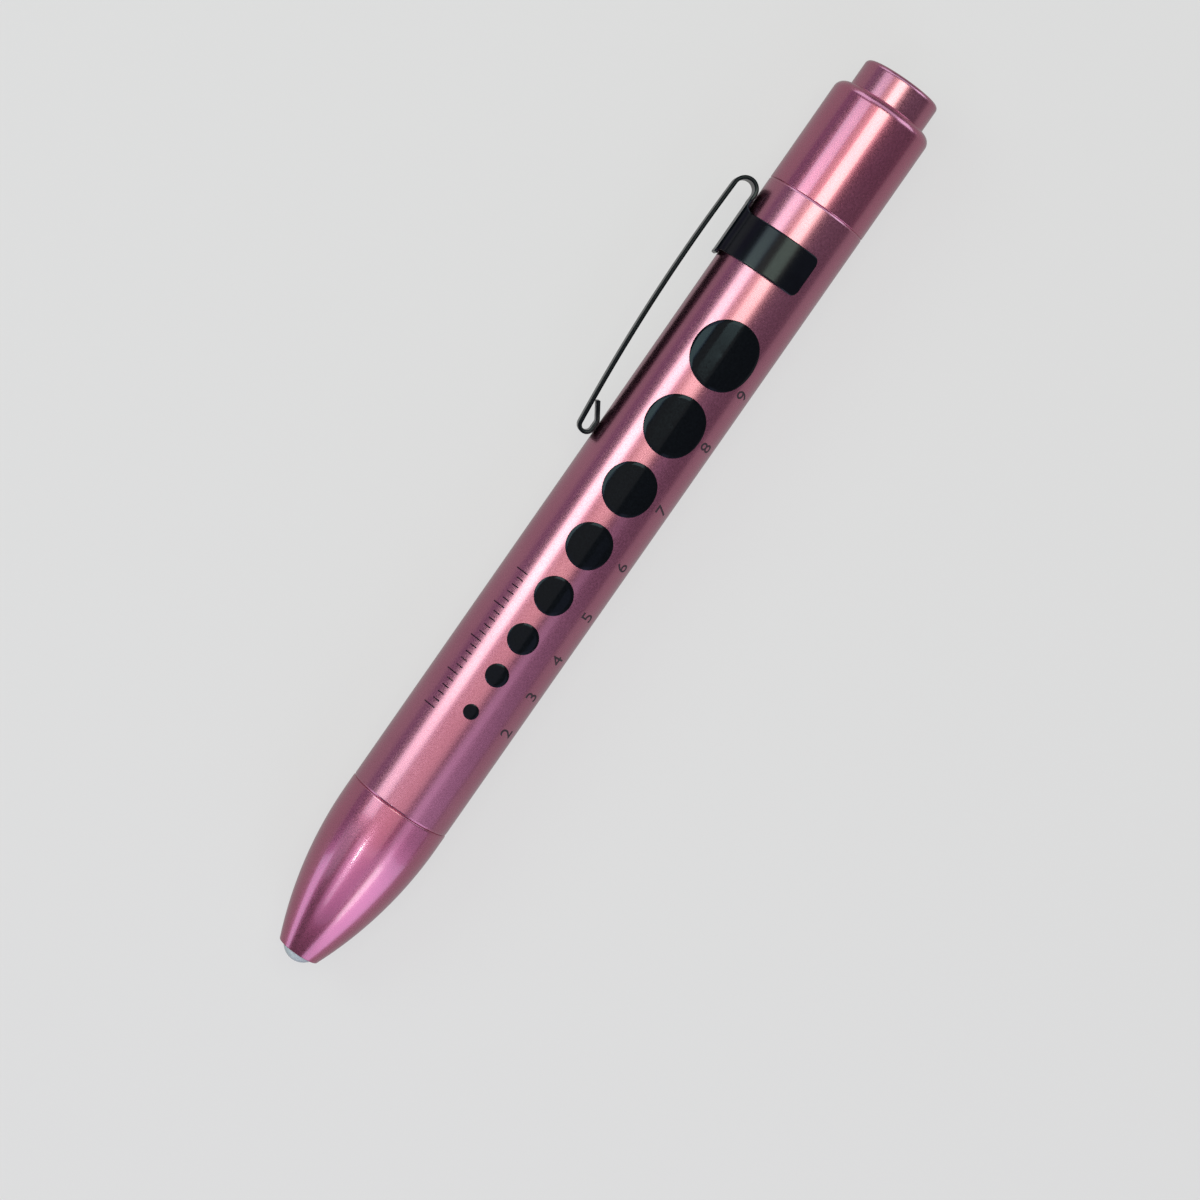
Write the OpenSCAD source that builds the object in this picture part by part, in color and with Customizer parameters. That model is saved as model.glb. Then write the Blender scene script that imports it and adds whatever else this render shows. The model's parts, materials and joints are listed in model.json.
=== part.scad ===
// Pocket penlight: a turned barrel holds two cells in line. A nose with a lamp screws into its front
// end, a tail cap with a click switch screws over its rear end, and a sprung clip grips its outside.
// Every piece is drawn standing on its tail, along Z, and is then laid down along X.

/* [Cells] */
// Diameter of each cell
cell_d = 10.5; // [9.5:0.1:11.5]
// Length of each cell, over its nipple
cell_len = 44.5; // [40:0.1:50]
// Diameter of a cell's nipple
nipple_d = 3.8; // [3:0.1:5]
// Height of a cell's nipple
nipple_h = 1.0; // [0.6:0.1:1.6]
// Radial room around a cell
cell_gap = 0.2; // [0.1:0.05:0.4]

/* [Barrel and threads] */
// Wall of a threaded spigot, over its thread
spigot_wall = 0.7; // [0.6:0.05:1]
// Wall outside a threaded socket
socket_wall = 0.65; // [0.5:0.05:1.2]
// Length of a threaded spigot
thread_len = 5.55; // [5:0.05:8]
// Advance of the thread in one turn
thread_pitch = 1.0; // [0.7:0.05:1.2]
// Height of a thread's ridges
thread_depth = 0.25; // [0.15:0.05:0.3]
// Length of the barrel's skin beyond that of its two cells
barrel_extra = 1.35; // [0.5:0.05:4]
// Chamfer on the edges that meet at a seam
seam_chamfer = 0.15; // [0.05:0.05:0.3]
// Width of a seal's groove
seal_w = 0.8; // [0.6:0.05:1]
// Depth of a seal's groove
seal_depth = 0.38; // [0.3:0.02:0.42]

/* [Nose] */
// Length of the nose, from its seam to its tip
nose_len = 22.45; // [18:0.05:28]
// Straight length of the nose, before its curve starts
nose_land = 1.95; // [0.5:0.05:4]
// How far the nose's skin stands proud of the barrel's
nose_proud = 0.05; // [0:0.01:0.2]
// Rim of the nose around the lamp, at its tip
nose_rim = 0.25; // [0.2:0.05:0.6]
// Chamfer on the tip's edge
tip_chamfer = 0.15; // [0.05:0.05:0.2]
// How far the front cell reaches into the nose, past the seam
cell_reach = 3.6; // [2:0.1:6]

/* [Lamp] */
// Diameter of the lamp's body and dome
led_d = 5.0; // [3:0.1:5.6]
// Length of the lamp, from its flange to the top of its dome
led_len = 8.7; // [6:0.1:10]
// How far the dome stands out of the nose
led_proud = 1.3; // [0.5:0.1:2.2]
// How far the lamp's flange stands out around its body
led_flange_lip = 0.4; // [0.2:0.05:0.7]
// Thickness of the lamp's flange
led_flange_t = 1.0; // [0.6:0.1:1.4]
// Distance between the lamp's two leads
lead_pitch = 2.54; // [2:0.02:2.8]
// Width of a square lead
lead_w = 0.5; // [0.4:0.05:0.6]
// Diameter of the sleeve that holds the lamp
holder_d = 8.0; // [7.4:0.1:8.8]
// Thickness of the lamp's circuit board
board_t = 1.0; // [0.8:0.1:1.6]
// Length of the resistor
resistor_len = 3.2; // [2:0.1:3.4]
// Width of the resistor
resistor_w = 1.6; // [1:0.1:1.8]
// Height of the resistor
resistor_h = 0.55; // [0.4:0.05:0.8]
// Diameter of the contact that meets the front cell
front_contact_d = 4.0; // [3:0.1:6]
// Thickness of the contact that meets the front cell
front_contact_t = 0.6; // [0.4:0.05:1]
// Radial width of the ring that earths the board
ground_ring_w = 0.7; // [0.4:0.05:0.9]
// Thickness of the ring that earths the board
ground_ring_t = 0.3; // [0.2:0.05:0.6]

/* [Tail cap and button] */
// How far the button stands out of the tail cap
button_proud = 3.8; // [3:0.1:5]
// How far the button's flange stands out around it
button_lip = 0.42; // [0.3:0.02:0.6]
// Thickness of the button's flange
button_flange_t = 1.0; // [0.6:0.1:1.4]
// Side wall of the button
button_wall = 0.8; // [0.6:0.05:1]
// End wall of the button
button_end = 1.2; // [0.8:0.1:1.6]
// Rounding of the button's edge
button_round = 0.6; // [0.2:0.1:0.75]
// Travel of the button
press_travel = 2.2; // [1.6:0.1:2.6]
// End wall of the tail cap
cap_end_wall = 1.6; // [1.4:0.1:2.4]
// Rounding of the tail cap's edge
cap_round = 1.3; // [0.6:0.1:1.4]

/* [Switch] */
// Wall of the tube that guides the latch
guide_wall = 0.8; // [0.6:0.05:1]
// Height of the ribs inside that tube
guide_rib_h = 0.65; // [0.5:0.05:0.8]
// Thickness of the switch housing's flange
housing_flange_t = 2.0; // [1.6:0.1:3]
// Length of the latch's rotor
rotor_len = 2.0; // [1.6:0.1:2.4]
// Wall of the rotor around the return spring
rotor_wall = 0.55; // [0.4:0.05:0.7]
// Floor of the rotor under the return spring
rotor_floor = 0.7; // [0.5:0.05:1]
// Thickness of the plunger's disc
plunger_disc_t = 0.75; // [0.5:0.05:1]
// Thickness of the moving contact
moving_contact_t = 0.45; // [0.3:0.05:0.7]
// Thickness of the fixed contact
fixed_contact_t = 0.5; // [0.3:0.05:0.8]
// Thickness of the insulating washer
washer_t = 0.9; // [0.6:0.05:1.4]
// Thickness of the disc that the battery spring stands on
terminal_t = 0.4; // [0.3:0.05:0.6]
// Thickness of the ring that holds the switch in
retaining_t = 0.6; // [0.5:0.05:1.4]
// Radial width of that ring
retaining_w = 1.4; // [1:0.1:1.8]

/* [Springs] */
// Wire of the battery spring
battery_wire_d = 0.8; // [0.5:0.05:0.9]
// Outer diameter of the battery spring's wide end
battery_coil_wide_d = 8.6; // [7:0.1:8.8]
// Outer diameter of the battery spring's narrow end
battery_coil_narrow_d = 6.0; // [4:0.1:7]
// Turns of the battery spring
battery_turns = 6; // [4:1:7]
// Wire of the return spring
return_wire_d = 0.4; // [0.3:0.05:0.45]
// Turns of the return spring
return_turns = 5; // [3:1:5]

/* [Clip] */
// Thickness of the clip's strip
clip_t = 0.5; // [0.4:0.05:0.6]
// Width of the clip's strip
clip_w = 4.6; // [3.6:0.1:5.4]
// Length of the clip, over its bend and its tip
clip_len = 37.7; // [30:0.1:48]
// Width of the band that grips the barrel
band_w = 5.7; // [4:0.1:8]
// Angle that the band wraps
band_wrap = 238; // [220:2:290]
// Rounding of the band's corners
band_round = 0.8; // [0.3:0.1:1]
// Rounding between the strip and the band's tail side
neck_round = 1.6; // [0.8:0.1:1.8]
// Rounding between the strip and the band's nose side
lip_round = 0.5; // [0.2:0.1:0.55]
// From the tail seam to the clip's bend
clip_start = 1.55; // [0.8:0.05:4]
// From the clip's bend to the band
band_start = 3.8; // [3.2:0.1:6]
// How far the strip runs on past the band
plate_lip = 0.6; // [0.2:0.1:2]
// Outer diameter of the clip's bend
bend_d = 3.42; // [3:0.02:4.4]
// Outer diameter of the clip's rolled tip
clip_tip_d = 2.2; // [1.8:0.02:2.6]
// Length of the flat under the clip's rolled tip
tip_flat = 0.9; // [0.2:0.1:1.2]
// Radius that the clip's arm bows out to
arm_bow_r = 246; // [180:1:300]
// Length of the strip that turns back under the arm
leg_len = 2.35; // [1.5:0.05:2.4]
// Slope of the strip that turns back under the arm
leg_slope = 33; // [20:1:34]

/* [Gauge] */
// Diameter of the gauge's largest dot, nearest the tail
dot_largest = 9; // [5:1:10]
// Diameter of the gauge's smallest dot
dot_smallest = 2; // [1:1:4]
// Difference between two neighbouring dots
dot_step = 1; // [0.5:0.5:2]
// From the tail seam to the middle of the first dot
dot_start = 21.55; // [18:0.05:26]
// Room between two dots
dot_gap = 2.0; // [1:0.1:2.4]
// Further room before the last dot
last_dot_gap = 1.0; // [0:0.1:2]
// Turn of the first dot about the barrel, from straight up and away from the clip
gauge_turn = 6.8; // [0:0.1:20]
// How much less the last dot is turned, because the row isn't printed quite straight
gauge_lean = 5.6; // [0:0.1:8]
// Thickness of the printed ink
ink_t = 0.05; // [0.04:0.01:0.06]

/* [Hidden] */
$fn = 96;

// Colours of the finishes
rose = [0.74, 0.36, 0.48];
steel_black = [0.08, 0.08, 0.09];
ink = [0.05, 0.05, 0.06];
bright_steel = [0.75, 0.76, 0.78];
brass = [0.80, 0.64, 0.30];
white_plastic = [0.90, 0.90, 0.88];
black_plastic = [0.13, 0.13, 0.14];
rubber = [0.16, 0.16, 0.16];
cell_jacket = [0.30, 0.38, 0.46];
board_green = [0.12, 0.42, 0.24];
clear_resin = [0.92, 0.93, 0.95, 0.6];
phosphor = [0.95, 0.85, 0.35];

// Clearances
overrun = 1;
thread_gap = 0.05;
fit_gap = 0.05;
slide_gap = 0.08;
seat_gap = 0.05;
touch_gap = 0.03;
seal_gap = 0.03;
embed_gap = 0.02;
latch_gap = 0.15;
guide_gap = 0.3;
coil_gap = 0.25;
insulation_gap = 0.2;
board_gap = 0.1;
press_spare = 0.35;
guide_spare = 0.2;
spigot_spare = 0.15;

// Steps between the tail cap's bores
socket_step = 0.15;
housing_ledge = 0.25;

// Radii from the cells out to the skin
cell_r = cell_d / 2;
bore_r = cell_r + cell_gap;
spigot_r = bore_r + spigot_wall;
root_r = spigot_r - thread_depth;
groove_r = spigot_r - seal_depth;
socket_r = spigot_r + thread_gap;
body_r = socket_r + socket_wall;
nose_r = body_r + nose_proud;

// Radii from the tail socket in to the latch
switch_bore_r = socket_r - socket_step;
switch_r = switch_bore_r - fit_gap;
chamber_r = switch_bore_r - housing_ledge;
button_flange_r = chamber_r - slide_gap;
button_r = button_flange_r - button_lip;
button_hole_r = button_r + slide_gap;
cavity_r = button_r - button_wall;
guide_r = cavity_r - guide_gap;
guide_bore_r = guide_r - guide_wall;
guide_rib_r = guide_bore_r - guide_rib_h;
rib_r = guide_bore_r - latch_gap;
core_r = guide_rib_r - latch_gap;
rotor_bore_r = core_r - rotor_wall;
washer_hole_r = rotor_bore_r + coil_gap;
retaining_hole_r = switch_r - retaining_w;
terminal_r = retaining_hole_r - insulation_gap;

// Stations along the axis, from the button's face
cap_z = button_proud;
chamber_z = cap_z + cap_end_wall;
button_flange_z = chamber_z + seat_gap;
switch_z = button_flange_z + button_flange_t + press_travel + press_spare;
fixed_z = switch_z + housing_flange_t;
washer_z = fixed_z + fixed_contact_t;
terminal_z = washer_z + washer_t;
retaining_end_z = terminal_z + retaining_t;
spigot_z = retaining_end_z + spigot_spare;
tail_seam_z = spigot_z + thread_len;
nose_seam_z = tail_seam_z + 2 * cell_len + barrel_extra;
nose_spigot_z = nose_seam_z - thread_len;
contact_z = nose_seam_z + cell_reach;
front_cell_z = contact_z - touch_gap - cell_len;
rear_cell_z = front_cell_z - touch_gap - cell_len;
board_z = contact_z + front_contact_t;
ground_z = board_z + board_t;
shoulder_z = ground_z + ground_ring_t;
tip_z = nose_seam_z + nose_len;
dome_z = tip_z + led_proud;
led_z = dome_z - led_len;
led_shoulder_z = led_z + led_flange_t + seat_gap;

// Stations of the latch, back from the fixed contact
moving_z = fixed_z - touch_gap - press_travel - moving_contact_t;
rotor_z = moving_z - rotor_len;
rotor_bore_z = rotor_z + rotor_floor;
plunger_end_z = rotor_z - latch_gap;
plunger_z = button_end + touch_gap;
plunger_disc_end_z = plunger_z + plunger_disc_t;
guide_z = plunger_disc_end_z + press_travel + guide_spare;
guide_rib_end_share = 0.65;
guide_rib_end_z = rotor_z + rotor_len * guide_rib_end_share;

// Latch: ribs in turn around the guide
rib_count = 4;
rib_angle = 25;
plunger_rib_share = 0.85;

// Thread and seal on a spigot
seal_side = 0.35;
land_len = seal_w + 2 * seal_side;
ridge_count = floor((thread_len - land_len) / thread_pitch);
ridge_base_share = 0.7;
ridge_crest_share = 0.2;
seal_z_offset = land_len / 2;
seal_mid_r = (groove_r + socket_r) / 2;
seal_half = (socket_r - groove_r) / 2 - seal_gap;

// Curve of the nose: one arc, tangent to the skin, down to the rim around the lamp
led_r = led_d / 2;
led_bore_r = led_r + fit_gap;
tip_r = led_bore_r + nose_rim;
curve_z = nose_seam_z + nose_land;
curve_run = tip_z - curve_z;
curve_drop = nose_r - tip_r;
curve_r = (curve_run * curve_run + curve_drop * curve_drop) / (2 * curve_drop);
// The arc starts a hair under the skin, so that the two cross at a clear corner
curve_step = 0.002;
curve_mid_r = nose_r - curve_step - curve_r;
curve_sides = 720;

// Lamp
led_flange_r = led_r + led_flange_lip;
holder_r = holder_d / 2;
holder_bore_r = holder_r + fit_gap;
holder_z = ground_z + seat_gap;
holder_end_z = led_shoulder_z - seat_gap;
holder_rim = 0.6;
recess_r = holder_r - holder_rim;
recess_depth = resistor_h + holder_rim;
resistor_size = [resistor_len, resistor_w, resistor_h];
board_r = bore_r - board_gap;
lead_end_share = 0.25;
lead_z = board_z + board_t * lead_end_share;
channel_w = lead_w + 2 * fit_gap;
anvil_size = [1.9, 0.7, 1.5];
post_size = [0.9, 0.6, 1.1];
anvil_shift = 0.45;
anvil_z = led_z + led_flange_t;
anvil_top_z = anvil_z + anvil_size[2];
chip_d = 0.9;
chip_t = 0.35;
resistor_shift = 2.0;
contact_chamfer = front_contact_t / 2;

// Cells
cell_edge = 0.4;
crimp_r = 0.35;
crimp_drop = 2.2;

// Retaining ring
key_slot_w = 1.2;
key_slot_depth_share = 0.5;

// Springs
coil_sides = 6;
rings_per_turn = 12;
battery_wire_r = battery_wire_d / 2;
return_wire_r = return_wire_d / 2;
battery_seat_z = terminal_z + terminal_t + touch_gap;
battery_top_z = rear_cell_z - touch_gap;
return_coil_r = rotor_bore_r - coil_gap - return_wire_r;

// Clip: distances out from the axis, and along it
band_gap = 0.07;
plate_step = 0.05;
round_step = 0.02;
tip_gap = 0.1;
leg_gap = 0.14;
band_in_r = body_r + band_gap;
band_out_r = band_in_r + clip_t;
bend_r = bend_d / 2;
clip_tip_r = clip_tip_d / 2;
bend_z = tail_seam_z + clip_start + bend_r;
band_z = tail_seam_z + clip_start + band_start;
band_end_z = band_z + band_w;
plate_in = band_in_r + plate_step;
bend_out = plate_in + bend_r;
tip_out = body_r + tip_gap + clip_tip_r;
clip_tip_z = tail_seam_z + clip_start + clip_len - clip_tip_r;
flex_gap_angle = 8;

// Middle of the arm's bow: its outer arc holds both the bend's circle and the tip's circle
bend_mid = [bend_out, bend_z];
tip_mid = [tip_out, clip_tip_z];
leg_mid = tip_mid - [0, tip_flat];
span = norm(tip_mid - bend_mid);
along = (tip_mid - bend_mid) / span;
inward = [-along[1], along[0]];
to_bend = arm_bow_r - bend_r;
to_tip = arm_bow_r - clip_tip_r;
foot = (to_bend * to_bend - to_tip * to_tip + span * span) / (2 * span);
drop = sqrt(to_bend * to_bend - foot * foot);
bow_mid = bend_mid + along * foot + inward * drop;

// Directions, as angles in the clip's own plane, where 0 points out from the axis
bow_start_angle = atan2(bend_mid[1] - bow_mid[1], bend_mid[0] - bow_mid[0]);
bow_end_angle = atan2(tip_mid[1] - bow_mid[1], tip_mid[0] - bow_mid[0]);
flat_angle = 180;
leg_angle = flat_angle + leg_slope;
arc_steps = 16;

// The leg ends short of the arm above it
leg_in_r = clip_tip_r - clip_t;
arm_fall = tan(bow_end_angle);
leg_back = tip_flat + leg_in_r * sin(leg_slope);
leg_rise = leg_in_r * (1 + cos(leg_slope)) - leg_gap + arm_fall * leg_back;
leg_most = leg_rise / (sin(leg_slope) - arm_fall * cos(leg_slope));
leg_drawn = min(leg_len, leg_most);

// Gauge
outline_points = 40;
last_dot = round((dot_largest - dot_smallest) / dot_step);
dot_sizes = [for (i = [0 : last_dot]) dot_largest - i * dot_step];
dot_steps = [for (i = [0 : last_dot])
    i == 0 ? dot_start
    : (dot_sizes[i - 1] + dot_sizes[i]) / 2 + dot_gap + (i == last_dot ? last_dot_gap : 0)];
function dot_place(i) = i < 0 ? 0 : dot_steps[i] + dot_place(i - 1);
dot_span = dot_place(last_dot) - dot_start;
function dot_turn(i) = gauge_turn - gauge_lean * (dot_place(i) - dot_start) / dot_span;

// Lays a piece down: its own X, Y and Z become Y, Z and X
module laid() {
    lay_turn = 120;
    rotate(lay_turn, [1, 1, 1])
        children();
}

// Round pieces
module tube(inner, outer, from, to) {
    rotate_extrude()
        band2d(inner, outer, from, to);
}

module band2d(inner, outer, from, to) {
    translate([inner, from])
        square([outer - inner, to - from]);
}

// Half section of a round bar with both ends chamfered
module chamfered2d(outer, from, to, chamfer) {
    polygon([
        [0, from],
        [outer - chamfer, from],
        [outer, from + chamfer],
        [outer, to - chamfer],
        [outer - chamfer, to],
        [0, to]
    ]);
}

// Half section of a round bar with its first end chamfered
module eased2d(outer, from, to, chamfer) {
    polygon([
        [0, from],
        [outer - chamfer, from],
        [outer, from + sign(to - from) * chamfer],
        [outer, to],
        [0, to]
    ]);
}

// Half section of a round bar with its rear edge rounded
module rounded2d(outer, from, to, edge) {
    band2d(0, outer - edge, from, from + edge);
    band2d(0, outer, from + edge, to);
    translate([outer - edge, from + edge])
        circle(r = edge);
}

// Cut that chamfers the front edge of a round bar
module front_edge2d(outer, end, chamfer) {
    polygon([
        [outer - chamfer - overrun, end + overrun],
        [outer + overrun, end - chamfer - overrun],
        [outer + overrun, end + overrun]
    ]);
}

// Half section of a threaded spigot that runs back from its shoulder, with a groove for a seal
module spigot2d(shoulder) {
    back = shoulder - thread_len;
    groove_z = shoulder - seal_z_offset - seal_w / 2;
    difference() {
        union() {
            band2d(0, root_r, back, shoulder);
            band2d(0, spigot_r, shoulder - land_len, shoulder);
            for (i = [0 : ridge_count - 1])
                translate([0, back + (i + 1 / 2) * thread_pitch])
                    ridge2d();
        }
        band2d(groove_r, spigot_r + overrun, groove_z, groove_z + seal_w);
    }
}

module ridge2d() {
    base = thread_pitch * ridge_base_share / 2;
    crest = thread_pitch * ridge_crest_share / 2;
    polygon([
        [bore_r, -base],
        [root_r, -base],
        [spigot_r, -crest],
        [spigot_r, crest],
        [root_r, base],
        [bore_r, base]
    ]);
}

// Seal squeezed between a spigot's groove and the socket around it
module seal(shoulder) {
    laid()
        rotate_extrude()
            translate([seal_mid_r, shoulder - seal_z_offset])
                intersection() {
                    circle(r = seal_w / 2 - seal_gap);
                    square([2 * seal_half, seal_w], center = true);
                }
}

// Ribs around the latch, from one radius to another
module ribs(inner, outer, from, to, turn) {
    for (i = [0 : rib_count - 1])
        rotate(turn + i * 360 / rib_count - rib_angle / 2)
            rotate_extrude(angle = rib_angle)
                band2d(inner, outer, from, to);
}

// Wire wound as one helix, from one coil radius to another
module coil(from_r, to_r, from, to, turns, wire_r, label) {
    rings = turns * rings_per_turn;
    middles = [for (i = [0 : rings])
        let (share = i / rings, turn = share * turns * 360, r = from_r + (to_r - from_r) * share)
            [r * cos(turn), r * sin(turn), from + wire_r + (to - from - 2 * wire_r) * share]];
    points = [for (i = [0 : rings])
        let (ahead = middles[min(i + 1, rings)] - middles[max(i - 1, 0)],
             turn = i / rings_per_turn * 360,
             out = [cos(turn), sin(turn), 0],
             side = cross(ahead, out) / norm(cross(ahead, out)))
            for (k = [0 : coil_sides - 1])
                let (a = k * 360 / coil_sides)
                    middles[i] + wire_r * (cos(a) * out + sin(a) * side)];
    gaps = [for (i = [0 : rings])
        for (j = [i + rings_per_turn / 2 : rings])
            norm(middles[i] - middles[j]) - 2 * wire_r];
    echo(str(label, ": least gap between turns"), min(gaps));
    polyhedron(points, coil_faces(rings));
}

function coil_faces(rings) = concat(
    [for (i = [0 : rings - 1])
        for (k = [0 : coil_sides - 1])
            let (a = i * coil_sides + k, b = i * coil_sides + (k + 1) % coil_sides)
                [a, a + coil_sides, b]],
    [for (i = [0 : rings - 1])
        for (k = [0 : coil_sides - 1])
            let (a = i * coil_sides + k, b = i * coil_sides + (k + 1) % coil_sides)
                [b, a + coil_sides, b + coil_sides]],
    [for (k = [1 : coil_sides - 2]) [0, k, k + 1]],
    [for (k = [1 : coil_sides - 2]) let (a = rings * coil_sides) [a, a + k + 1, a + k]]
);

// Barrel and what it holds
module barrel() {
    color(rose)
        laid()
            rotate_extrude()
                difference() {
                    union() {
                        chamfered2d(body_r, tail_seam_z, nose_seam_z, seam_chamfer);
                        spigot2d(tail_seam_z);
                    }
                    band2d(0, bore_r, spigot_z - overrun, nose_seam_z + overrun);
                    band2d(0, socket_r, nose_spigot_z - spigot_spare, nose_seam_z + overrun);
                }
}

module cell(from) {
    can_end = from + cell_len - nipple_h;
    laid()
        rotate_extrude()
            difference() {
                union() {
                    chamfered2d(cell_r, from, can_end, cell_edge);
                    band2d(0, nipple_d / 2, can_end, can_end + nipple_h);
                }
                translate([cell_r, can_end - crimp_drop])
                    circle(r = crimp_r);
            }
}

module front_battery() {
    color(cell_jacket)
        cell(front_cell_z);
}

module rear_battery() {
    color(cell_jacket)
        cell(rear_cell_z);
}

// Round dots printed on the barrel, so each outline is a circle wrapped around the skin
module gauge_dots() {
    color(ink)
        laid()
            for (i = [0 : last_dot])
                rotate(-dot_turn(i))
                    dot(dot_sizes[i] / 2, tail_seam_z + dot_place(i));
}

module dot(r, place) {
    outline = [for (k = [0 : outline_points - 1])
        let (a = k * 360 / outline_points, arc = r * sin(a) / body_r * 180 / PI)
            [body_r * sin(arc), place + r * cos(a)]];
    intersection() {
        tube(body_r, body_r + ink_t, place - r - overrun, place + r + overrun);
        rotate([90, 0, 180])
            linear_extrude(body_r + overrun)
                polygon(outline);
    }
}

module tail_seal() {
    color(rubber)
        seal(tail_seam_z);
}

// Clip, drawn in its own plane: X points out from the axis, Y runs along it
module clip_plane() {
    laid()
        rotate([90, 0, 180])
            linear_extrude(clip_w, center = true)
                children();
}

// Points along an arc, between two angles
function arc(middle, r, from, to) = [for (i = [0 : arc_steps])
    let (a = from + (to - from) * i / arc_steps)
        middle + r * [cos(a), sin(a)]];

// One face of the clip's lower bend and plate, at a depth into the strip
function band_face(depth) = concat(
    arc(bend_mid, bend_r - depth, 270, 180),
    [[plate_in + depth, band_end_z + plate_lip]]
);

// One face of the clip's upper bend, arm, rolled tip and leg, at a depth into the strip
function arm_face(depth) = let (tip_r = clip_tip_r - depth, out = [cos(leg_angle), sin(leg_angle)])
    concat(
        arc(bend_mid, bend_r - depth, flex_gap_angle - 90, bow_start_angle),
        arc(bow_mid, arm_bow_r - depth, bow_start_angle, bow_end_angle),
        arc(tip_mid, tip_r, bow_end_angle, flat_angle),
        arc(leg_mid, tip_r, flat_angle, leg_angle),
        [leg_mid + tip_r * out + leg_drawn * [-out[1], out[0]]]
    );

function backwards(points) = [for (i = [len(points) - 1 : -1 : 0]) points[i]];

module clip_band() {
    color(steel_black)
        union() {
            clip_plane()
                polygon(concat(band_face(0), backwards(band_face(clip_t))));
            laid() {
                wings();
                neck(band_z, 1, neck_round);
                neck(band_end_z, -1, lip_round);
            }
        }
}

// The band widens towards the strip that runs out of it, on one of its sides
module neck(place, side, r) {
    inset = r - round_step;
    half = clip_w / 2 + inset;
    intersection() {
        tube(band_in_r + round_step, band_out_r - round_step, place - r - overrun, place + r + overrun);
        rotate([90, 0, -90])
            linear_extrude(band_out_r + overrun)
                translate([0, place])
                    scale([1, side])
                        neck2d(half, inset, r);
    }
}

module neck2d(half, inset, r) {
    difference() {
        translate([-half, -inset])
            square([2 * half, 2 * inset]);
        for (end = [-1, 1])
            translate([end * half, -inset])
                circle(r = r);
    }
}

// Two wings that grip the barrel, with rounded corners
module wings() {
    difference() {
        rotate(180 - band_wrap / 2)
            rotate_extrude(angle = band_wrap)
                band2d(band_in_r, band_out_r, band_z, band_end_z);
        for (side = [-1, 1], end = [-1, 1])
            wing_corner(side, end);
    }
}

module wing_corner(side, end) {
    mid_z = (band_z + band_end_z) / 2;
    inset = band_round - round_step;
    edge = end * (band_w / 2 - inset);
    cut = band_round + overrun;
    rotate(180 + side * band_wrap / 2)
        translate([0, 0, mid_z])
            rotate([90, 0, 90])
                linear_extrude(band_out_r + overrun)
                    translate([-side * inset, edge])
                        difference() {
                            translate([(side - 1) / 2 * cut, (end - 1) / 2 * cut])
                                square(cut);
                            circle(r = band_round);
                        }
}

module clip_arm() {
    color(steel_black)
        clip_plane()
            polygon(concat(arm_face(0), backwards(arm_face(clip_t))));
}

// Nose and lamp
module nose_seal() {
    color(rubber)
        seal(nose_seam_z);
}

module nose_cone() {
    color(rose)
        laid()
            rotate_extrude()
                difference() {
                    union() {
                        spigot2d(nose_seam_z);
                        nose2d();
                    }
                    band2d(0, bore_r, nose_spigot_z - overrun, shoulder_z);
                    band2d(0, holder_bore_r, nose_spigot_z, led_shoulder_z);
                    band2d(0, led_bore_r, nose_spigot_z, tip_z + overrun);
                }
}

// Half section of the nose's skin
module nose2d() {
    wide_r = nose_r + overrun;
    flat_r = tip_r - tip_chamfer;
    eased2d(nose_r, nose_seam_z, curve_z, seam_chamfer);
    intersection() {
        translate([curve_mid_r, curve_z])
            circle(r = curve_r, $fn = curve_sides);
        polygon([
            [0, nose_seam_z + seam_chamfer],
            [wide_r, nose_seam_z + seam_chamfer],
            [wide_r, tip_z - (wide_r - flat_r)],
            [flat_r, tip_z],
            [0, tip_z]
        ]);
    }
}

module led_lens() {
    color(clear_resin)
        laid()
            difference() {
                rotate_extrude() {
                    band2d(0, led_flange_r, led_z, led_z + led_flange_t);
                    band2d(0, led_r, led_z, dome_z - led_r);
                    intersection() {
                        translate([0, dome_z - led_r])
                            circle(r = led_r);
                        band2d(0, led_r, dome_z - led_r, dome_z);
                    }
                }
                leads(embed_gap);
                chip(embed_gap);
            }
}

module block(size, middle, from) {
    translate([middle[0] - size[0] / 2, middle[1] - size[1] / 2, from])
        cube(size);
}

// Two leads, one with a post and one with the anvil that carries the chip
module leads(room) {
    grow = [2 * room, 2 * room, 2 * room];
    for (side = [-1, 1])
        block([lead_w, lead_w, anvil_z + lead_w - lead_z] + grow, [side * lead_pitch / 2, 0], lead_z - room);
    block(anvil_size + grow, [-anvil_shift, 0], anvil_z - room);
    block(post_size + grow, [lead_pitch / 2, 0], anvil_z - room);
}

module led_lead_frame() {
    color(bright_steel)
        laid()
            leads(0);
}

module chip(room) {
    translate([0, 0, anvil_top_z])
        cylinder(d = chip_d + 2 * room, h = chip_t + room);
}

module led_chip() {
    color(phosphor)
        laid()
            chip(0);
}

// Square ways for the two leads
module lead_ways(from, to) {
    for (side = [-1, 1])
        block([channel_w, channel_w, to - from], [side * lead_pitch / 2, 0], from);
}

module led_holder() {
    color(white_plastic)
        laid()
            difference() {
                tube(0, holder_r, holder_z, holder_end_z);
                tube(0, recess_r, holder_z - overrun, holder_z + recess_depth);
                tube(0, led_flange_r + fit_gap, led_z - touch_gap, holder_end_z + overrun);
                lead_ways(holder_z, led_z);
            }
}

module driver_board() {
    color(board_green)
        laid()
            difference() {
                tube(0, board_r, board_z, ground_z);
                lead_ways(board_z - overrun, ground_z + overrun);
            }
}

module resistor() {
    color(black_plastic)
        laid()
            block(resistor_size, [0, resistor_shift], ground_z);
}

module ground_ring() {
    color(brass)
        laid()
            tube(board_r - ground_ring_w, board_r, ground_z, shoulder_z);
}

module front_contact() {
    color(brass)
        laid()
            rotate_extrude()
                eased2d(front_contact_d / 2, contact_z, board_z, contact_chamfer);
}

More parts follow.
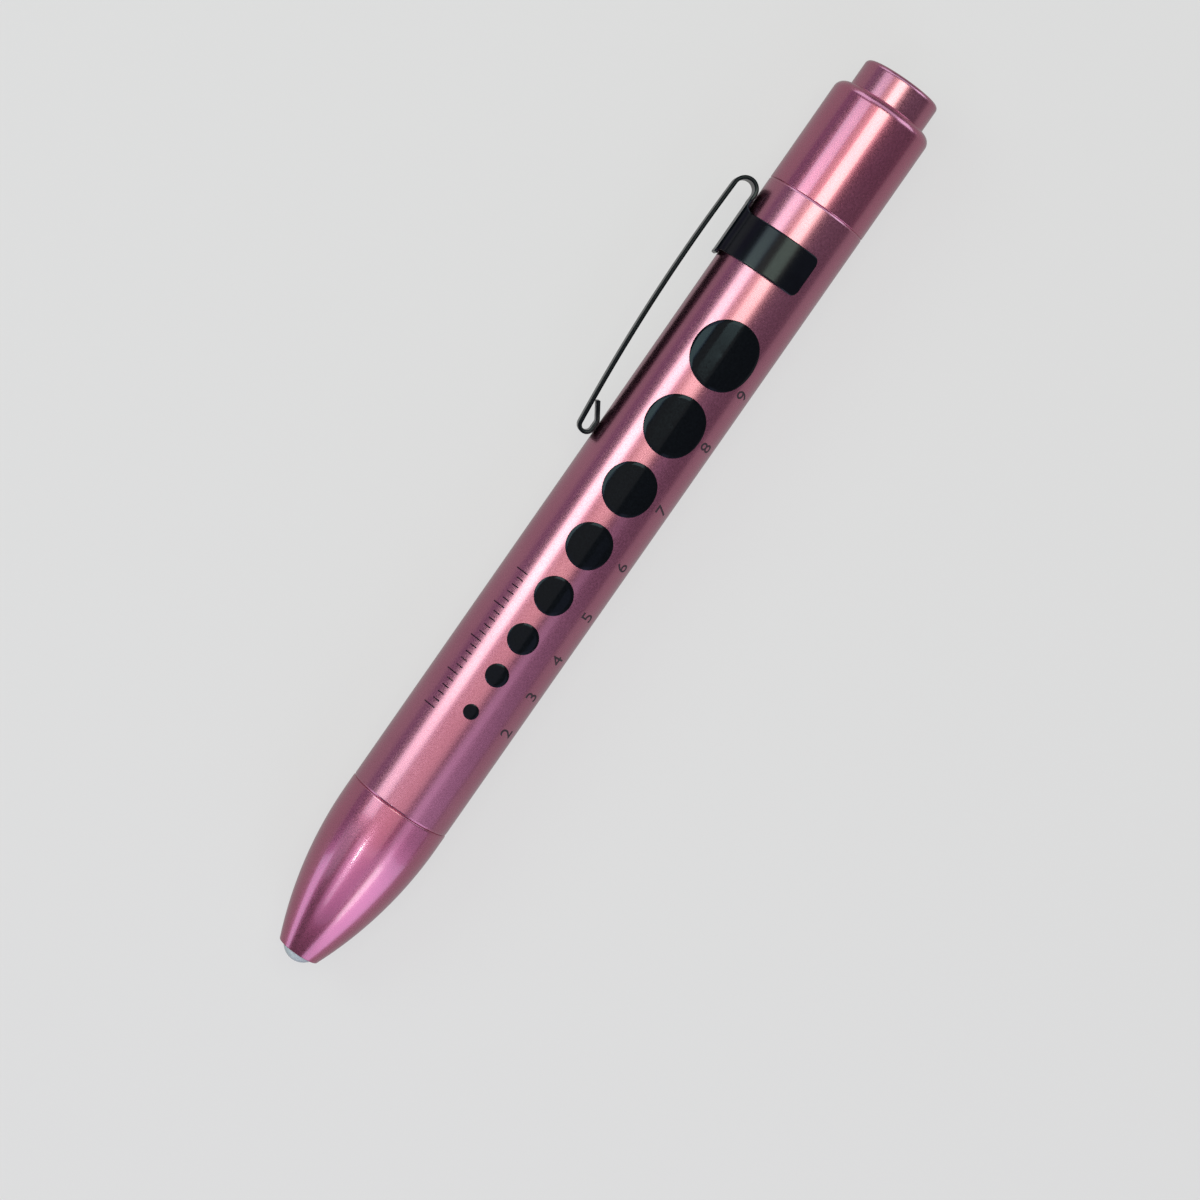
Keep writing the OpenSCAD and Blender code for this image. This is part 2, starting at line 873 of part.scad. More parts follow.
// Tail cap and switch
module tail_cap() {
    color(rose)
        laid()
            rotate_extrude()
                difference() {
                    rounded2d(body_r, cap_z, tail_seam_z, cap_round);
                    front_edge2d(body_r, tail_seam_z, seam_chamfer);
                    band2d(0, button_hole_r, cap_z - overrun, tail_seam_z);
                    band2d(0, chamber_r, chamber_z, tail_seam_z);
                    band2d(0, switch_bore_r, switch_z, tail_seam_z);
                    band2d(0, socket_r, retaining_end_z, tail_seam_z + overrun);
                }
}

module push_button() {
    color(rose)
        laid()
            rotate_extrude()
                difference() {
                    union() {
                        rounded2d(button_r, 0, button_flange_z + button_flange_t, button_round);
                        band2d(0, button_flange_r, button_flange_z, button_flange_z + button_flange_t);
                    }
                    band2d(0, cavity_r, button_end, button_flange_z + button_flange_t + overrun);
                }
}

module switch_housing() {
    color(black_plastic)
        laid() {
            tube(guide_bore_r, guide_r, guide_z, fixed_z);
            tube(guide_bore_r, switch_r, switch_z, fixed_z);
            ribs(guide_rib_r, guide_bore_r + guide_wall / 2, guide_z, guide_rib_end_z, 180 / rib_count);
        }
}

module switch_plunger() {
    core_len = plunger_end_z - plunger_disc_end_z;
    color(white_plastic)
        laid() {
            tube(0, cavity_r - slide_gap, plunger_z, plunger_disc_end_z);
            tube(0, core_r, plunger_disc_end_z, plunger_end_z);
            ribs(0, rib_r, plunger_disc_end_z, plunger_disc_end_z + core_len * plunger_rib_share, 0);
        }
}

module latch_rotor() {
    color(white_plastic)
        laid() {
            difference() {
                tube(0, core_r, rotor_z, moving_z);
                tube(0, rotor_bore_r, rotor_bore_z, moving_z + overrun);
            }
            ribs(rotor_bore_r + rotor_wall / 2, rib_r, rotor_z, moving_z, 0);
        }
}

module moving_contact() {
    color(brass)
        laid()
            tube(rotor_bore_r, rib_r, moving_z, moving_z + moving_contact_t);
}

module fixed_contact() {
    color(brass)
        laid()
            tube(core_r, switch_r, fixed_z, washer_z);
}

module insulating_washer() {
    color(white_plastic)
        laid()
            tube(washer_hole_r, switch_r, washer_z, terminal_z);
}

module spring_terminal() {
    color(brass)
        laid()
            tube(0, terminal_r, terminal_z, terminal_z + terminal_t);
}

// Ring with two slots for a key
module retaining_ring() {
    slot_depth = retaining_t * key_slot_depth_share;
    slot_size = [2 * switch_r + overrun, key_slot_w, slot_depth + overrun];
    color(bright_steel)
        laid()
            difference() {
                tube(retaining_hole_r, switch_r, terminal_z, retaining_end_z);
                block(slot_size, [0, 0], retaining_end_z - slot_depth);
            }
}

module return_spring() {
    color(bright_steel)
        laid()
            coil(return_coil_r, return_coil_r, rotor_bore_z + touch_gap, terminal_z - touch_gap,
                return_turns, return_wire_r, "return_spring");
}

module battery_spring() {
    color(bright_steel)
        laid()
            coil(battery_coil_wide_d / 2 - battery_wire_r, battery_coil_narrow_d / 2 - battery_wire_r,
                battery_seat_z, battery_top_z, battery_turns, battery_wire_r, "battery_spring");
}

barrel();
front_battery();
rear_battery();
gauge_dots();
tail_seal();
clip_band();
clip_arm();
nose_seal();
nose_cone();
led_lens();
led_lead_frame();
led_chip();
led_holder();
driver_board();
resistor();
ground_ring();
front_contact();
battery_spring();
tail_cap();
switch_housing();
fixed_contact();
insulating_washer();
spring_terminal();
retaining_ring();
return_spring();
push_button();
switch_plunger();
latch_rotor();
moving_contact();
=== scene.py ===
"""Looks of a pocket penlight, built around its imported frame.

Lengths are in millimetres, and become metres where a mesh, a light or the camera is made.
Angles are in degrees.
"""

import json
import math

import bmesh
import bpy
from mathutils import Matrix, Vector

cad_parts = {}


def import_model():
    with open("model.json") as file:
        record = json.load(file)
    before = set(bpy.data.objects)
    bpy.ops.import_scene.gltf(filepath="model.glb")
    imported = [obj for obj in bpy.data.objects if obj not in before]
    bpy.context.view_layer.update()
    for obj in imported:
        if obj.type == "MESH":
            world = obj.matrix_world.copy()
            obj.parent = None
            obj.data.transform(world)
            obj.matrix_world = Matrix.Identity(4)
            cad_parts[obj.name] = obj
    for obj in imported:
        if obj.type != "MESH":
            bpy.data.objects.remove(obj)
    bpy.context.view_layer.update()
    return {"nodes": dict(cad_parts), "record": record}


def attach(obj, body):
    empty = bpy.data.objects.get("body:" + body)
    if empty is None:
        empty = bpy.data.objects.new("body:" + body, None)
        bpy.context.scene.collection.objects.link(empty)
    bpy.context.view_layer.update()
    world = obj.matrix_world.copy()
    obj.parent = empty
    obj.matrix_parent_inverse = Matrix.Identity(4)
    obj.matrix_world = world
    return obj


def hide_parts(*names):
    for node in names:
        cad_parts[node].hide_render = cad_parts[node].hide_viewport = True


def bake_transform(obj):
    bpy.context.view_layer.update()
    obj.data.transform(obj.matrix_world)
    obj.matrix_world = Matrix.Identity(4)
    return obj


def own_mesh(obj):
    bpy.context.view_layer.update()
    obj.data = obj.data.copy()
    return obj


MM = 0.001
SEGMENTS = 192

# Stations along the axis, from the button's face
CAVITY_X = 1.2
CAP_X = 3.8
CHAMBER_X = 5.4
BUTTON_FLANGE_X = 5.45
BUTTON_END_X = 6.45
SWITCH_X = 9.0
SOCKET_X = 13.0
TAIL_SPIGOT_X = 13.15
TAIL_SEAM_X = 18.7
NOSE_SOCKET_X = 103.35
NOSE_SPIGOT_X = 103.5
NOSE_SEAM_X = 109.05
CURVE_X = 111.0
SHOULDER_X = 114.55
LED_X = 124.1
LED_FLANGE_X = 125.1
LED_SHOULDER_X = 125.15
TIP_X = 131.5
DOME_X = 132.8

# Radii of the turned pieces
BORE_R = 5.45
ROOT_R = 5.9
SPIGOT_R = 6.15
GROOVE_R = 5.77
SOCKET_R = 6.2
BODY_R = 6.85
NOSE_R = 6.9
TIP_R = 2.8
LED_R = 2.5
LED_BORE_R = 2.55
LED_FLANGE_R = 2.9
HOLDER_BORE_R = 4.05
SWITCH_BORE_R = 6.05
CHAMBER_R = 5.8
BUTTON_HOLE_R = 5.38
BUTTON_R = 5.3
BUTTON_FLANGE_R = 5.72
CAVITY_R = 4.5

# Threads and the lands behind the seams
THREAD_PITCH = 1.0
THREAD_STEPS = 14
THREAD_FADE = 0.5
RIDGE_FOOT = 0.7
RIDGE_FLANK = 0.5
LAND = 1.5
GROOVE_W = 0.8

# Roundings of the turned pieces, and the bevel at both ends of the barrel
EDGE_ROUND = 0.05
FINE_ROUND = 0.08
SPIGOT_ROUND = 0.15
NOSE_SEAM_ROUND = 0.2
TIP_ROUND = 0.12
CAP_ROUND = 1.3
CAP_SEAM_ROUND = 0.12
BUTTON_ROUND = 0.6
CAVITY_ROUND = 0.3
CHAMFER_RUN = 0.24
CHAMFER_DROP = 0.11

# Clip
CLIP_T = 0.5
CLIP_HALF_W = 2.3
CLIP_EDGE_ROUND = 0.14
BEND_X = 21.96
BEND_OUT = 8.68
BEND_R = 1.46
TIP_LOOP_X = 56.85
TIP_LOOP_OUT = 8.05
TIP_LOOP_R = 0.85
TIP_FLAT = 0.9
BOW_R = 245.75
LEG_TURN = 237
LEG_LEN = 2.35
PLATE_OUT = 7.22
PLATE_END_X = 30.35
BAND_X = 24.05
BAND_END_X = 29.75
BAND_R = 7.17
BAND_HALF_WRAP = 119
BAND_CORNER = 0.85
NECK_ROUND = 1.6
LIP_ROUND = 0.5
FOLD_ANGLE = 12

# Printing
DOT_FIRST_X = 40.25
DOT_ANGLE = 6.8
DOT_LEAN = 5.6
DOT_LARGEST = 9
DOT_SMALLEST = 2
DOT_GAP = 2.0
LAST_DOT_GAP = 1.0
INK_T = 0.06
INK_EDGE_ROUND = 0.02
NUMERAL_H = 2.2
NUMERAL_NARROWING = 0.82
NUMERAL_ANGLE = 53.3
FIRST_NUMERAL_SHIFT = 2.75
RULE_ANGLE = -40.7
RULE_X = 76.0
RULE_LEN = 20
RULE_GROUP = 5
RULE_TOP = 0.9
RULE_LONG_LINE = 2.0
RULE_SHORT_LINE = 1.1
RULE_HALF_LINE_W = 0.07

# Springs
BATTERY_SPRING_X = (12.83, 23.56)
BATTERY_COIL_R = (3.9, 2.6)
BATTERY_WIRE_R = 0.4
BATTERY_TURNS = 6
RETURN_SPRING_X = (7.05, 12.37)
RETURN_COIL_R = (1.6, 1.6)
RETURN_WIRE_R = 0.2
RETURN_TURNS = 5

# Camera: how far it is rolled about the pen, what it looks at, and where the pen points in the picture
CAMERA_ROLL = 4.2
CAMERA_DISTANCE = 400.0
CAMERA_FOOT_X = 54.0
AIM_X = 73.75
AIM_SIDE = 5.85
PICTURE_SCALE = 8.031
PICTURE_SIZE = 1200
SENSOR_W = 36.0
PEN_RIGHT = -0.57219
PEN_UP = -0.82012

# Floor and world
FLOOR_X = 66
FLOOR_Z = -7.45
FLOOR_HALF_W = 3000
FLOOR_COLOUR = (0.152, 0.132, 0.137, 1)
FLOOR_CAMERA_GLOW = 0.619
FLOOR_GLOSSY_GLOW = 0.27
WORLD_COLOUR = (1.0, 0.92, 1.06, 1)
WORLD_LEVEL = 0.125
WORLD_CAMERA_LEVEL = 0.55


# Meshes

def make_object(name, mesh, sharp_angle=32):
    """An object from a bmesh in metres, smooth but for its sharp edges."""
    bmesh.ops.recalc_face_normals(mesh, faces=mesh.faces)
    data = bpy.data.meshes.new(name)
    mesh.to_mesh(data)
    mesh.free()
    data.shade_smooth()
    data.set_sharp_from_angle(angle=math.radians(sharp_angle))
    piece = bpy.data.objects.new(name, data)
    bpy.context.scene.collection.objects.link(piece)
    return piece


def rounded(corners, steps=7, support=0.06):
    """Points of a profile from its (x, r, rounding) corners, with each corner rounded."""
    points = []
    for i, (x, r, rounding) in enumerate(corners):
        corner = Vector((x, r))
        if rounding == 0:
            points.append((x, r))
            continue
        back = (Vector(corners[i - 1][:2]) - corner).normalized()
        ahead = (Vector(corners[(i + 1) % len(corners)][:2]) - corner).normalized()
        half = back.angle(ahead) / 2
        reach = rounding / math.tan(half)
        middle = corner + (back + ahead).normalized() * rounding / math.sin(half)
        start = corner + back * reach - middle
        end = corner + ahead * reach - middle
        points.append(tuple(corner + back * (reach + support)))
        for k in range(steps + 1):
            points.append(tuple(middle + start.slerp(end, k / steps) * rounding))
        points.append(tuple(corner + ahead * (reach + support)))
    return points


def spread(points, longest=2.5):
    """The same closed profile with its long straight runs divided."""
    result = []
    for i, (x, r) in enumerate(points):
        next_x, next_r = points[(i + 1) % len(points)]
        parts = max(1, math.ceil(math.hypot(next_x - x, next_r - r) / longest))
        for k in range(parts):
            share = k / parts
            result.append((x + (next_x - x) * share, r + (next_r - r) * share))
    return result


def thread_rise(x, angle):
    """Height of a right-hand thread's ridge, from 0 at its root to 1 at its crest."""
    phase = (x / THREAD_PITCH - angle / (2 * math.pi)) % 1
    distance = 2 * abs(phase - 0.5)
    return min(1, max(0, (RIDGE_FOOT - distance) / RIDGE_FLANK))


def lathe(name, profile, thread=None):
    """A closed profile of (x, r) points turned about the axis. thread is the run of x that is threaded."""
    mesh = bmesh.new()
    rings = []
    for x, r in profile:
        ring = []
        for k in range(SEGMENTS):
            angle = 2 * math.pi * k / SEGMENTS
            radius = r
            if thread and thread[0] < x < thread[1] and r == ROOT_R:
                fade = min(1, (x - thread[0]) / THREAD_FADE, (thread[1] - x) / THREAD_FADE)
                radius = r + (SPIGOT_R - ROOT_R) * fade * thread_rise(x, angle)
            place = (x * MM, radius * math.cos(angle) * MM, radius * math.sin(angle) * MM)
            ring.append(mesh.verts.new(place))
        rings.append(ring)
    for ring, after in zip(rings, rings[1:] + rings[:1]):
        for k in range(SEGMENTS):
            n = (k + 1) % SEGMENTS
            mesh.faces.new((ring[k], ring[n], after[n], after[k]))
    return make_object(name, mesh)


def spigot_corners(start, shoulder):
    """Corners of a threaded spigot that ends at a shoulder, from its open end."""
    land = shoulder - LAND
    groove = shoulder - LAND / 2 - GROOVE_W / 2
    return [
        (start, ROOT_R, SPIGOT_ROUND),
        (land, ROOT_R, 0),
        (land, SPIGOT_R, FINE_ROUND),
        (groove, SPIGOT_R, EDGE_ROUND),
        (groove, GROOVE_R, 0),
        (groove + GROOVE_W, GROOVE_R, 0),
        (groove + GROOVE_W, SPIGOT_R, EDGE_ROUND),
        (shoulder, SPIGOT_R, 0),
    ]


def threaded(points, start, end):
    """The same profile with the run that carries a thread divided finely."""
    result = []
    step = THREAD_PITCH / THREAD_STEPS
    for i, (x, r) in enumerate(points):
        result.append((x, r))
        next_x, next_r = points[(i + 1) % len(points)]
        if r == ROOT_R and next_r == ROOT_R and start <= x < end:
            parts = max(1, round((next_x - x) / step))
            for k in range(1, parts):
                result.append((x + (next_x - x) * k / parts, ROOT_R))
    return result


def exact_root(points):
    """Points at the thread's root with that very radius, so that they can be told apart."""
    result = []
    for x, r in points:
        result.append((x, ROOT_R if abs(r - ROOT_R) < 1e-5 else r))
    return result


def threaded_lathe(name, corners, run):
    """Rounded corners turned about the axis, with a thread cut along a run of x."""
    profile = threaded(exact_root(spread(rounded(corners))), *run)
    return lathe(name, profile, run)


def make_barrel():
    corners = spigot_corners(TAIL_SPIGOT_X, TAIL_SEAM_X) + [
        (TAIL_SEAM_X, BODY_R - CHAMFER_DROP, EDGE_ROUND),
        (TAIL_SEAM_X + CHAMFER_RUN, BODY_R, EDGE_ROUND),
        (NOSE_SEAM_X - CHAMFER_RUN, BODY_R, EDGE_ROUND),
        (NOSE_SEAM_X, BODY_R - CHAMFER_DROP, EDGE_ROUND),
        (NOSE_SEAM_X, SOCKET_R, FINE_ROUND),
        (NOSE_SOCKET_X, SOCKET_R, 0),
        (NOSE_SOCKET_X, BORE_R, FINE_ROUND),
        (TAIL_SPIGOT_X, BORE_R, FINE_ROUND),
    ]
    return threaded_lathe("barrel_skin", corners, (TAIL_SPIGOT_X, TAIL_SEAM_X - LAND))


def nose_curve():
    """Corners along the nose's arc, from the end of its straight land to its tip."""
    run = TIP_X - CURVE_X
    drop = NOSE_R - TIP_R
    radius = (run * run + drop * drop) / (2 * drop)
    steps = 40
    points = []
    for k in range(1, steps + 1):
        x = CURVE_X + run * k / steps
        r = NOSE_R - radius + math.sqrt(radius * radius - (x - CURVE_X) ** 2)
        points.append((x, r, TIP_ROUND if k == steps else 0))
    return points


def make_nose():
    corners = spigot_corners(NOSE_SPIGOT_X, NOSE_SEAM_X) + [
        (NOSE_SEAM_X, NOSE_R, NOSE_SEAM_ROUND),
        (CURVE_X, NOSE_R, 0),
    ]
    corners += nose_curve()
    corners += [
        (TIP_X, LED_BORE_R, EDGE_ROUND),
        (LED_SHOULDER_X, LED_BORE_R, 0),
        (LED_SHOULDER_X, HOLDER_BORE_R, 0),
        (SHOULDER_X, HOLDER_BORE_R, 0),
        (SHOULDER_X, BORE_R, 0),
        (NOSE_SPIGOT_X, BORE_R, FINE_ROUND),
    ]
    return threaded_lathe("nose_skin", corners, (NOSE_SPIGOT_X, NOSE_SEAM_X - LAND))


def make_tail_cap():
    corners = [
        (CAP_X, BODY_R, CAP_ROUND),
        (TAIL_SEAM_X, BODY_R, CAP_SEAM_ROUND),
        (TAIL_SEAM_X, SOCKET_R, FINE_ROUND),
        (SOCKET_X, SOCKET_R, 0),
        (SOCKET_X, SWITCH_BORE_R, 0),
        (SWITCH_X, SWITCH_BORE_R, 0),
        (SWITCH_X, CHAMBER_R, 0),
        (CHAMBER_X, CHAMBER_R, 0),
        (CHAMBER_X, BUTTON_HOLE_R, 0),
        (CAP_X, BUTTON_HOLE_R, FINE_ROUND),
    ]
    return lathe("tail_cap_skin", spread(rounded(corners, steps=12)))


def closed_lathe(name, profile, segments=SEGMENTS):
    """An open profile that starts and ends on the axis, turned about it."""
    mesh = bmesh.new()
    first = mesh.verts.new((profile[0][0] * MM, 0, 0))
    last = mesh.verts.new((profile[-1][0] * MM, 0, 0))
    rings = []
    for x, r in profile[1:-1]:
        ring = []
        for k in range(segments):
            angle = 2 * math.pi * k / segments
            ring.append(mesh.verts.new((x * MM, r * math.cos(angle) * MM, r * math.sin(angle) * MM)))
        rings.append(ring)
    for k in range(segments):
        n = (k + 1) % segments
        mesh.faces.new((first, rings[0][n], rings[0][k]))
        mesh.faces.new((last, rings[-1][k], rings[-1][n]))
        for ring, after in zip(rings, rings[1:]):
            mesh.faces.new((ring[k], ring[n], after[n], after[k]))
    return make_object(name, mesh)


def make_button():
    corners = [
        (0, 0, 0),
        (0, BUTTON_R, BUTTON_ROUND),
        (BUTTON_FLANGE_X, BUTTON_R, 0),
        (BUTTON_FLANGE_X, BUTTON_FLANGE_R, FINE_ROUND),
        (BUTTON_END_X, BUTTON_FLANGE_R, FINE_ROUND),
        (BUTTON_END_X, CAVITY_R, FINE_ROUND),
        (CAVITY_X, CAVITY_R, CAVITY_ROUND),
        (CAVITY_X, 0, 0),
    ]
    points = spread(rounded(corners, steps=10))
    last = points.index((CAVITY_X, 0))
    return closed_lathe("button_skin", points[:last + 1])


def make_lens():
    middle = DOME_X - LED_R
    profile = rounded([
        (LED_X, 0, 0),
        (LED_X, LED_FLANGE_R, FINE_ROUND),
        (LED_FLANGE_X, LED_FLANGE_R, FINE_ROUND),
        (LED_FLANGE_X, LED_R, 0),
        (middle, LED_R, 0),
    ])
    steps = 32
    for k in range(1, steps):
        angle = math.pi / 2 * k / steps
        profile.append((middle + LED_R * math.sin(angle), LED_R * math.cos(angle)))
    profile.append((DOME_X, 0))
    return closed_lathe("lamp_lens", profile, segments=96)


def thickened(name, points, faces, thickness, rounding, rim_steps=3):
    """A closed shell around a sheet of points in metres: two faces and a rounded rim."""
    sheet = bmesh.new()
    sheet_verts = [sheet.verts.new(point) for point in points]
    for face in faces:
        sheet.faces.new([sheet_verts[i] for i in face])
    bmesh.ops.remove_doubles(sheet, verts=sheet.verts, dist=1e-7)
    bmesh.ops.recalc_face_normals(sheet, faces=sheet.faces)
    sheet.verts.index_update()
    sheet.normal_update()
    half = thickness / 2
    outward = {}
    rim_edges = []
    for edge in sheet.edges:
        if not edge.is_boundary:
            continue
        loop = edge.link_loops[0]
        start = loop.vert
        end = loop.link_loop_next.vert
        out = (end.co - start.co).normalized().cross(loop.face.normal)
        rim_edges.append((start.index, end.index))
        for vert in (start, end):
            outward[vert.index] = outward.get(vert.index, Vector()) + out
    rim = []
    for k in range(rim_steps + 1):
        turn = math.pi / 2 * k / rim_steps
        rim.append((rounding * (math.sin(turn) - 1), half - rounding * (1 - math.cos(turn))))
    rim += [(out, -height) for out, height in reversed(rim)]
    mesh = bmesh.new()
    columns = {}
    for vert in sheet.verts:
        if vert.index in outward:
            side = outward[vert.index].normalized()
            column = [mesh.verts.new(vert.co + side * out + vert.normal * height) for out, height in rim]
        else:
            over = mesh.verts.new(vert.co + vert.normal * half)
            under = mesh.verts.new(vert.co - vert.normal * half)
            column = [over, under]
        columns[vert.index] = column
    for face in sheet.faces:
        mesh.faces.new([columns[vert.index][0] for vert in face.verts])
        mesh.faces.new([columns[vert.index][-1] for vert in reversed(face.verts)])
    for start, end in rim_edges:
        for k in range(len(rim) - 1):
            mesh.faces.new((
                columns[start][k], columns[start][k + 1], columns[end][k + 1], columns[end][k],
            ))
    sheet.free()
    return make_object(name, mesh)


# Clip: one bent strip with two wings

def circle_meet(first, first_r, second, second_r):
    """The point at given distances from two others, on the side of the axis."""
    across = second - first
    gap = across.length
    along = (first_r ** 2 - second_r ** 2 + gap ** 2) / (2 * gap)
    height = math.sqrt(first_r ** 2 - along ** 2)
    direction = across / gap
    normal = Vector((direction.y, -direction.x))
    return first + direction * along + normal * height


def clip_arc(middle, radius, start, end, steps):
    """Points (x, out) along an arc in the clip's plane, without its first."""
    points = []
    for k in range(1, steps + 1):
        angle = math.radians(start + (end - start) * k / steps)
        points.append(middle + Vector((math.cos(angle), math.sin(angle))) * radius)
    return points


def clip_path():
    """Points (x, out) along the strip from the end of its plate, and how many of them carry the wings."""
    wing_rows = 22
    path = [Vector((PLATE_END_X, PLATE_OUT))]
    first = BAND_END_X + LIP_ROUND
    last = BAND_X - NECK_ROUND
    for k in range(wing_rows):
        path.append(Vector((first + (last - first) * k / (wing_rows - 1), PLATE_OUT)))
    path.append(Vector((BEND_X, PLATE_OUT)))
    bend = Vector((BEND_X, BEND_OUT))
    tip = Vector((TIP_LOOP_X, TIP_LOOP_OUT))
    bow = circle_meet(bend, BOW_R - BEND_R, tip, BOW_R - TIP_LOOP_R)
    leave = math.degrees(math.atan2(bend.y - bow.y, bend.x - bow.x))
    arrive = math.degrees(math.atan2(tip.y - bow.y, tip.x - bow.x))
    path += clip_arc(bend, BEND_R, -90, leave - 360, steps=30)
    path += clip_arc(bow, BOW_R, leave, arrive, steps=40)
    path += clip_arc(tip, TIP_LOOP_R, arrive, -90, steps=22)
    tip.x -= TIP_FLAT
    path += [Vector((tip.x, tip.y - TIP_LOOP_R))]
    path += clip_arc(tip, TIP_LOOP_R, -90, LEG_TURN - 360, steps=8)
    angle = math.radians(LEG_TURN)
    leg = Vector((math.sin(angle), -math.cos(angle)))
    leg_steps = 5
    path += [path[-1] + leg * LEG_LEN * k / leg_steps for k in range(1, leg_steps + 1)]
    return path, wing_rows


def wing_start(reach, end_reach):
    """Where a wing starts along the barrel, at a reach out from the strip's edge."""
    if reach < NECK_ROUND:
        return BAND_X - NECK_ROUND + math.sqrt(NECK_ROUND ** 2 - (NECK_ROUND - reach) ** 2)
    return BAND_X + corner_cut(reach, end_reach)


def wing_end(reach, end_reach):
    """Where a wing ends along the barrel, at a reach out from the strip's edge."""
    if reach < LIP_ROUND:
        return BAND_END_X + LIP_ROUND - math.sqrt(LIP_ROUND ** 2 - (LIP_ROUND - reach) ** 2)
    return BAND_END_X - corner_cut(reach, end_reach)


def corner_cut(reach, end_reach):
    """What the rounding of a wing's corner takes off its side."""
    past = reach - (end_reach - BAND_CORNER)
    if past <= 0:
        return 0
    return BAND_CORNER - math.sqrt(max(0, BAND_CORNER ** 2 - past ** 2))


def wing_place(x, reach, side):
    """A point of a wing in metres, at a reach around the barrel from the strip's edge."""
    first = math.atan2(CLIP_HALF_W, PLATE_OUT)
    first_r = math.hypot(CLIP_HALF_W, PLATE_OUT)
    angle = first + reach / BAND_R
    share = min(1, (angle - first) / math.radians(FOLD_ANGLE))
    settled = share * share * (3 - 2 * share)
    radius = first_r + (BAND_R - first_r) * settled
    return Vector((x, -radius * math.cos(angle), side * radius * math.sin(angle))) * MM


def wing_reaches():
    """Reaches around the barrel at which a wing has its columns."""
    end_reach = (math.radians(BAND_HALF_WRAP) - math.atan2(CLIP_HALF_W, PLATE_OUT)) * BAND_R
    steps = 9
    reaches = [NECK_ROUND * (1 - math.cos(math.pi / 2 * k / steps)) for k in range(steps + 1)]
    plain_end = end_reach - BAND_CORNER
    plain = 24
    reaches += [NECK_ROUND + (plain_end - NECK_ROUND) * k / plain for k in range(1, plain + 1)]
    reaches += [plain_end + BAND_CORNER * math.sin(math.pi / 2 * k / steps) for k in range(1, steps + 1)]
    return reaches, end_reach


def make_clip():
    points = []
    faces = []
    path, wing_rows = clip_path()
    columns = 8

    def grid(rows, column_count, start):
        for i in range(rows - 1):
            for j in range(column_count - 1):
                a = start + i * column_count + j
                faces.append((a, a + 1, a + 1 + column_count, a + column_count))

    for place in path:
        for j in range(columns + 1):
            width = CLIP_HALF_W * (2 * j / columns - 1)
            points.append(Vector((place.x, -place.y, width)) * MM)
    grid(len(path), columns + 1, 0)
    reaches, end_reach = wing_reaches()
    for side in (-1, 1):
        start = len(points)
        for k in range(wing_rows):
            share = k / (wing_rows - 1)
            for reach in reaches:
                first = wing_end(reach, end_reach)
                last = wing_start(reach, end_reach)
                points.append(wing_place(first + (last - first) * share, reach, side))
        grid(wing_rows, len(reaches), start)
    return thickened("pocket_clip", points, faces, CLIP_T * MM, CLIP_EDGE_ROUND * MM)


# Printing

def wrapped(x, arc, angle):
    """A point on the barrel's skin in metres, an arc's length around from an angle off the top."""
    turn = math.radians(angle) + arc / BODY_R
    return Vector((x, BODY_R * math.sin(turn), BODY_R * math.cos(turn))) * MM


def printed(name, flat, faces, angle):
    """Ink on the barrel from flat (x, arc) points: a thin layer that is sunk into the skin by half."""
    points = [wrapped(x, arc, angle) for x, arc in flat]
    return thickened(name, points, faces, INK_T * MM, INK_EDGE_ROUND * MM, rim_steps=2)


def dot_places():
    """Diameter and station of each dot."""
    places = []
    x = DOT_FIRST_X
    for size in range(DOT_LARGEST, DOT_SMALLEST - 1, -1):
        places.append((size, x))
        x += size / 2 + DOT_GAP + (size - 1) / 2
        if size == DOT_SMALLEST + 1:
            x += LAST_DOT_GAP
    return places


def make_dots():
    flat = []
    faces = []
    around = 144
    places = dot_places()
    row = places[-1][1] - DOT_FIRST_X
    for size, middle in places:
        shift = -math.radians(DOT_LEAN * (middle - DOT_FIRST_X) / row) * BODY_R
        rings = max(3, size)
        centre = len(flat)
        flat.append((middle, shift))
        for ring in range(1, rings + 1):
            radius = size / 2 * ring / rings
            for k in range(around):
                turn = 2 * math.pi * k / around
                flat.append((middle + radius * math.cos(turn), shift + radius * math.sin(turn)))
        for k in range(around):
            n = (k + 1) % around
            faces.append((centre, centre + 1 + k, centre + 1 + n))
            for ring in range(1, rings):
                inner = centre + 1 + (ring - 1) * around
                outer = inner + around
                faces.append((inner + k, outer + k, outer + n, inner + n))
    return printed("printed_dots", flat, faces, DOT_ANGLE)


def glyph(character, height):
    """Flat points and faces of a plain numeral, middled, and cut across to follow the skin's curve."""
    curve = bpy.data.curves.new("glyph", "FONT")
    curve.body = character
    curve.align_x = "CENTER"
    curve.resolution_u = 5
    holder = bpy.data.objects.new("glyph", curve)
    bpy.context.scene.collection.objects.link(holder)
    bpy.context.view_layer.update()
    data = bpy.data.meshes.new_from_object(holder.evaluated_get(bpy.context.evaluated_depsgraph_get()))
    mesh = bmesh.new()
    mesh.from_mesh(data)
    bpy.data.objects.remove(holder)
    bpy.data.curves.remove(curve)
    bpy.data.meshes.remove(data)
    bmesh.ops.remove_doubles(mesh, verts=mesh.verts, dist=1e-5)
    lowest = min(vert.co.y for vert in mesh.verts)
    highest = max(vert.co.y for vert in mesh.verts)
    cuts = 8
    for k in range(1, cuts):
        level = lowest + (highest - lowest) * k / cuts
        bmesh.ops.bisect_plane(
            mesh, geom=mesh.verts[:] + mesh.edges[:] + mesh.faces[:],
            plane_co=(0, level, 0), plane_no=(0, 1, 0),
        )
    mesh.verts.index_update()
    scale = height / (highest - lowest)
    middle = (lowest + highest) / 2
    flat = [(vert.co.x * scale, (vert.co.y - middle) * scale) for vert in mesh.verts]
    faces = [[vert.index for vert in face.verts] for face in mesh.faces]
    mesh.free()
    return flat, faces


